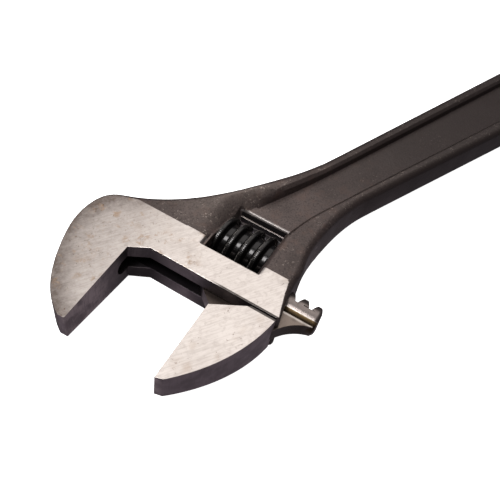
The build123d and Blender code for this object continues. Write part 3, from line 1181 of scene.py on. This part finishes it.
    def roll(self, mesh: bpy.types.Mesh) -> None:
        """Rolls the shoulders down to the worm's window.

        The surface sinks by a drop times the square of one less the distance from the inner edge over
        the roll's width. Along the far edge the drop grows to the window's back corner and fades away
        again along the recess. A narrow fall right at the edge leaves the ground faces a short step.
        Points at the recess floor's height and below don't move, and those above move by their share.

        Args:
            mesh: the forging's mesh.
        """
        points = Workshop.points(mesh)
        u, v = HEAD.read(points)
        height = np.abs(points[:, 2])
        gap, run = self.reach(u, v, np.array(self.far_edge) * MM)
        drop = np.interp(run, *(np.array(self.drops).T * MM))
        width = np.interp(run, *(np.array(self.widths).T * MM))
        gap = np.maximum(gap - self.edge_gap, 0.0)
        step = self.step_drop * self.fade(gap, self.step_width, 1.5)
        fall = np.maximum(drop * self.fade(gap, width, 2), step * (run < self.step_end))
        gap, _ = self.reach(u, v, np.array(self.near_edge) * MM)
        fall = np.maximum(fall, self.near_drop * self.fade(gap, self.near_width, 2))
        share = np.clip((height - self.floor) / (self.top - self.floor), 0.0, 1.0)
        share[v < self.window_front + 0.01 * MM] = 0.0
        share[(height < self.rail_bore + 0.1 * MM) & (v < self.rail_front)] = 0.0
        points[:, 2] -= np.sign(points[:, 2]) * fall * share
        mesh.vertices.foreach_set("co", points.reshape(-1))
        mesh.update()

    def ease_lips(self, piece: bpy.types.Object) -> None:
        """Gives the recess floor's edge at the window a wide rounding, by an edge weight and a bevel.

        Args:
            piece: the forging.
        """
        mesh = piece.data
        points = Workshop.points(mesh)
        _, v = HEAD.read(points)
        at_floor = np.abs(np.abs(points[:, 2]) - self.floor) < ON_EDGE
        lip = at_floor & (np.abs(v - self.window_back) < ON_EDGE)
        ends = np.empty(len(mesh.edges) * 2, np.int32)
        mesh.edges.foreach_get("vertices", ends)
        weight = mesh.attributes.new("bevel_weight_edge", "FLOAT", "EDGE")
        weight.data.foreach_set("value", lip[ends.reshape(-1, 2)].all(axis=1).astype(np.float32))
        bevel = piece.modifiers.new("rounded_lips", "BEVEL")
        bevel.limit_method = "WEIGHT"
        bevel.width = self.lip_width
        bevel.segments = 3
        bevel.use_clamp_overlap = False

    def build(self, finishes: list[bpy.types.Material]) -> bpy.types.Object:
        """Makes the forging.

        Args:
            finishes: the materials in the order of Skin.

        Returns:
            The piece.
        """
        piece = Workshop.from_node("frame", "forged_frame")
        Workshop.recut(piece.data, self.fences(), self.cuts())
        Workshop.dress(piece.data, finishes, self.skins(piece.data))
        self.roll(piece.data)
        Workshop.store(piece.data, "wear", self.wear(piece.data))
        self.ease_lips(piece)
        Workshop.ease(piece, self.edge)
        return Workshop.hand_over(piece, "body", "forged_steel")


@dataclass
class SlidingJaw:
    """The movable jaw with its web and the rail that carries the rack."""

    ground: GroundFaces = GroundFaces()
    front: float = -0.4 * MM
    face: float = 23.0 * MM
    edge: float = 0.08 * MM

    def skins(self, mesh: bpy.types.Mesh) -> np.ndarray:
        """Sorts faces by finish: ground above and below, cut on the block's sides, rack steel behind.

        Args:
            mesh: the jaw's mesh.

        Returns:
            A material slot number for each face.
        """
        middles, normals = Workshop.faces(mesh)
        _, v = HEAD.read(middles)
        beside = np.where(v > self.front, Skin.RACK.value, Skin.CUT.value)
        return np.where(self.ground.among(middles, normals), Skin.GROUND.value, beside)

    def build(self, finishes: list[bpy.types.Material]) -> bpy.types.Object:
        """Makes the jaw, rubbed on the face that grips.

        Args:
            finishes: the materials in the order of Skin.

        Returns:
            The piece.
        """
        piece = Workshop.from_node("movable_jaw", "sliding_jaw")
        Workshop.recut(piece.data, [], [])
        Workshop.dress(piece.data, finishes, self.skins(piece.data))
        u, _ = HEAD.read(Workshop.points(piece.data))
        Workshop.store(piece.data, "wear", (np.abs(u - self.face) < ON_EDGE).astype(float))
        Workshop.ease(piece, self.edge)
        return Workshop.hand_over(piece, "jaw", "ground_steel")


# --- the worm, its spring and its pin -------------------------------------------------------------
@dataclass
class DriveWorm:
    """The worm: one left-hand thread whose crest is notched all round for the thumb.

    The stations are the places of the grid's rows across the thread, in millimetres from a crest.
    """

    axis_v: float = 16.3 * MM
    start: float = 14.15 * MM
    end: float = 27.55 * MM
    pitch: float = 3.5 * MM
    threads: tuple[int, int] = (-1, 6)
    first_crest: float = 13.95 * MM
    root: float = 4.7 * MM
    foot: float = 4.3 * MM
    crest: float = 6.2 * MM
    crest_half: float = 0.52 * MM
    foot_half: float = 1.15 * MM
    bore: float = 2.05 * MM
    counterbore: float = 3.2 * MM
    counterbore_end: float = 18.75 * MM
    crown: float = 0.25 * MM
    crown_ease: float = 0.1 * MM
    notches: int = 88
    notch_columns: int = 6
    notch_depth: float = 0.1 * MM
    rubbed_depth: float = 0.35 * MM
    rubbed_climb: float = 0.3 * MM
    rubbed_and_highlight_edge: float = 0.16 * MM
    stations: tuple[float, ...] = (
        -1.75, -1.4, -1.12, -0.98, -0.8, -0.68, -0.58, -0.5, -0.38, -0.12,
        0.12, 0.38, 0.5, 0.58, 0.68, 0.8, 0.98, 1.12, 1.4,
    )

    def radius(self, across: np.ndarray, turn: np.ndarray) -> np.ndarray:
        """The thread's radius.

        The radius rises in a straight flank from the foot to the crest as the distance across the
        thread falls from foot_half to crest_half, and is never under the root. In the crown, the top
        part of the flank, it is less by an easing that grows with the sixth power of the distance
        across, and by a triangle wave round the axis, strongest at its corners, for the notches.

        Args:
            across: distance from the middle of the crest, along the axis.
            turn: angle round the axis.

        Returns:
            The radius, the same shape as the arguments together.
        """
        base = self.foot_half - self.crest_half
        climb = np.clip((self.foot_half - np.abs(across)) / base, 0.0, 1.0)
        flank = self.foot + (self.crest - self.foot) * climb
        wave = np.abs(((turn * self.notches / (2 * np.pi)) % 1.0) - 0.5) * 2.0
        top = np.clip((flank - self.crest + self.crown) / self.crown, 0.0, 1.0)
        corner = np.clip(np.abs(across) / self.crest_half, 0.0, 1.0) ** 6
        eased = self.crown_ease * corner * top
        notched = self.notch_depth * top * (0.15 + 0.85 * corner) * wave
        return np.maximum(self.root, flank - eased - notched)

    def skin(self) -> tuple[np.ndarray, np.ndarray]:
        """The worm's surface as a grid closed both ways.

        Each outer row follows the thread at its own distance across it, held between the two end faces.
        The last rows go in through the end face, along the bore and the counterbore and out again.

        Returns:
            The grid's points, rows by columns by 3, and how rubbed each point is, plus a painted
            highlight.
        """
        columns = self.notches * self.notch_columns
        crests = np.arange(*self.threads) * self.pitch + self.first_crest
        rows = (crests[:, None] + np.array(self.stations)[None, :] * MM).reshape(-1, 1)
        turn = np.linspace(0.0, 2 * np.pi, columns, endpoint=False)[None, :]
        lead = self.pitch * turn / (2 * np.pi)
        length = np.clip(rows - lead, self.start, self.end)
        offset = (length + lead - self.first_crest + self.pitch / 2) % self.pitch - self.pitch / 2
        inner = np.array([
            (self.end, self.bore),
            (self.counterbore_end, self.bore),
            (self.counterbore_end, self.counterbore),
            (self.start, self.counterbore),
        ])
        ones = np.ones_like(turn)
        length = np.concatenate([length, inner[:, :1] * ones])
        radius = np.concatenate([self.radius(offset, turn), inner[:, 1:] * ones])
        ring = np.cos(turn)[..., None] * -HEAD.back + np.sin(turn)[..., None] * -UP
        axis = HEAD.place(0.0, self.axis_v)
        points = axis + length[..., None] * HEAD.slide + radius[..., None] * ring
        # Near the crest the thread counts as rubbed; the line along each crest's edge towards the
        # worm's start is also a painted highlight.
        top = np.clip((radius - self.crest + self.rubbed_depth) / self.rubbed_climb, 0.0, 1.0)
        edge = np.exp(-(((offset + self.crest_half) / self.rubbed_and_highlight_edge) ** 2))
        rubbed = top * np.concatenate([0.25 + 0.75 * edge, np.zeros((len(inner), columns))])
        return points, rubbed

    def build(self, finish: bpy.types.Material) -> bpy.types.Object:
        """Makes the worm.

        Args:
            finish: its material.

        Returns:
            The piece.
        """
        points, rubbed = self.skin()
        faces = Workshop.grid_faces(*points.shape[:2], close_rows=True)
        piece = Workshop.from_arrays("drive_worm", points.reshape(-1, 3), faces, rubbed.reshape(-1))
        piece.data.shade_smooth()
        piece.data.set_sharp_from_angle(angle=math.radians(40))
        piece.data.materials.append(finish)
        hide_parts("worm")
        return Workshop.hand_over(piece, "screw", "worm_steel")


@dataclass
class WormSpring:
    """The coil spring of round wire in the worm's counterbore."""

    start: float = 14.15 * MM
    end: float = 18.45 * MM
    axis_v: float = 16.3 * MM
    coil: float = 2.6 * MM
    wire: float = 0.28 * MM
    turns: float = 3.0
    steps: int = 180
    around: int = 14

    def build(self, finish: bpy.types.Material) -> bpy.types.Object:
        """Makes the wire: a circle square to the coil's helix, carried along it, its two ends closed.

        Args:
            finish: its material.

        Returns:
            The piece.
        """
        share = np.linspace(0.0, 1.0, self.steps)
        turn = share * self.turns * 2 * np.pi
        out = np.cos(turn)[:, None] * -HEAD.back + np.sin(turn)[:, None] * UP
        middle = HEAD.place(0.0, self.axis_v) + out * self.coil
        middle = middle + (self.start + share * (self.end - self.start))[:, None] * HEAD.slide
        way = np.gradient(middle, axis=0)
        way /= np.linalg.norm(way, axis=1, keepdims=True)
        third = np.cross(way, out)
        angle = np.linspace(0.0, 2 * np.pi, self.around, endpoint=False)[None, :, None]
        circle = np.cos(angle) * out[:, None, :] + np.sin(angle) * third[:, None, :]
        sizes = np.full(self.steps, self.wire)
        sizes[[0, -1]] = 0.0
        points = (middle[:, None, :] + circle * sizes[:, None, None]).reshape(-1, 3)
        faces = Workshop.grid_faces(self.steps, self.around, close_rows=False)[:, ::-1]
        piece = Workshop.from_arrays("worm_spring_wire", points, faces, np.zeros(len(points)))
        piece.data.shade_smooth()
        piece.data.materials.append(finish)
        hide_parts("worm_spring")
        return Workshop.hand_over(piece, "body", "spring_steel")


@dataclass
class WormPin:
    """The slotted pin, whose own solid is right and only needs its finish."""

    node: str = "worm_pin"

    def build(self, finish: bpy.types.Material) -> bpy.types.Object:
        """Dresses the CAD node.

        Args:
            finish: its material.

        Returns:
            The node's own object.
        """
        piece = frame["nodes"][self.node]
        piece.data.materials.clear()
        piece.data.materials.append(finish)
        return piece


# --- the studio -----------------------------------------------------------------------------------
def stand(thing: bpy.types.Object, right: np.ndarray, up: np.ndarray, place: Place) -> None:
    """Places a lamp or the camera, which looks away from the cross product of its right and up.

    Args:
        thing: what is placed.
        right: its own right direction.
        up: its own up direction.
        place: where it stands.
    """
    rows = np.eye(4)
    rows[:3, 0], rows[:3, 1], rows[:3, 2], rows[:3, 3] = right, up, np.cross(right, up), place
    thing.matrix_world = Matrix(rows.tolist())


@dataclass(frozen=True)
class Softbox:
    """A square soft lamp: its middle, the length of its side, its power in watts and its colour."""

    name: str
    place: Place
    size: float
    power: float
    tint: Colour = (1.0, 1.0, 1.0)

    def hang(self, target: np.ndarray) -> None:
        """Hangs the lamp.

        Args:
            target: the point that it faces.
        """
        data = bpy.data.lights.new(self.name, "AREA")
        data.shape = "SQUARE"
        data.size = self.size
        data.energy = self.power
        data.color = self.tint
        away = np.array(self.place) - target
        back = away / np.linalg.norm(away)
        side = np.cross([0.0, 1.0, 0.0], back)
        side /= np.linalg.norm(side)
        stand(Workshop.link(self.name, data), side, np.cross(back, side), self.place)


@dataclass
class Studio:
    """The floor, the soft light and the camera."""

    floor_z: float = -6.6 * MM
    floor_half: float = 3.0
    low_room: Colour = (0.1, 0.09, 0.1)
    high_room: Colour = (0.55, 0.53, 0.52)
    paper: Colour = (0.25, 0.22, 0.24)
    overhead: Softbox = Softbox("overhead", (-0.14, -0.26, 0.69), 0.72, 2.3, (1.0, 0.965, 0.94))
    front: Softbox = Softbox("front", (0.34, -0.01, 0.36), 0.14, 1.15)
    target_u: float = 15.0 * MM
    lens: float = 44.05
    sensor: float = 36.0
    clip: Span = (0.005, 50.0)
    eye: Place = (216.95 * MM, 66.95 * MM, 115.55 * MM)
    right: Place = (-0.784351, 0.605737, 0.133703)
    up: Place = (-0.411963, -0.669799, 0.617783)

    def floor(self) -> None:
        """Lays a large flat sheet under the wrench, which sends it no light of its own."""
        side = np.array([-1.0, 1.0]) * self.floor_half
        x, y = np.meshgrid(side, side, indexing="xy")
        points = np.stack([x, y, np.full_like(x, self.floor_z)], axis=-1).reshape(-1, 3)
        piece = Workshop.from_arrays("studio_floor", points, np.array([[0, 1, 3, 2]]))
        piece.data.materials.append(WhitePaper().build())
        piece.visible_diffuse = False
        piece.visible_glossy = False

    def light(self) -> None:
        """Sets the soft light: a room that is dim low down and paler overhead, and the softboxes."""
        world = bpy.data.worlds.new("studio")
        bpy.context.scene.world = world
        bench = Bench(world)
        way = bench.add("ShaderNodeTexCoord").outputs["Generated"]
        height = bench.number("ShaderNodeSeparateXYZ", None, {0: way}, "Z")
        colour = bench.mix(self.low_room, self.high_room, height.rise(0.35, 1.0))
        colour = bench.mix(colour, self.paper, height.rise(-0.2, -1.0))
        room = bench.add("ShaderNodeBackground", None, {"Color": colour, "Strength": 1.0})
        bench.add("ShaderNodeOutputWorld", None, {0: room.outputs[0]})
        for lamp in (self.overhead, self.front):
            lamp.hang(HEAD.place(self.target_u, 0.0))

    def camera(self) -> None:
        """Makes the camera and makes it the scene's."""
        data = bpy.data.cameras.new("camera")
        data.lens = self.lens
        data.sensor_width = self.sensor
        data.clip_start, data.clip_end = self.clip
        camera = Workshop.link("camera", data)
        stand(camera, np.array(self.right), np.array(self.up), self.eye)
        bpy.context.scene.camera = camera

    def build(self) -> None:
        """Sets everything that isn't part of the wrench."""
        self.floor()
        self.light()
        self.camera()
        bpy.context.scene.view_settings.view_transform = "Standard"


def main() -> None:
    """Builds the wrench and the studio."""
    logging.basicConfig(level=logging.INFO, format="%(name)s %(message)s")
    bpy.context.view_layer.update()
    skins = [ForgedPhosphate().build(), GroundSteel().build(), CutSteel().build(), RackSteel().build()]
    black = OiledBlack().build()
    pieces = (
        ForgedFrame().build(skins),
        SlidingJaw().build(skins),
        DriveWorm().build(black),
        WormSpring().build(skins[Skin.CUT.value]),
        WormPin().build(black),
    )
    for piece in pieces:
        log.info("%s: %d points", piece.name, len(piece.data.vertices))
    Studio().build()


if __name__ == "__main__":
    main()
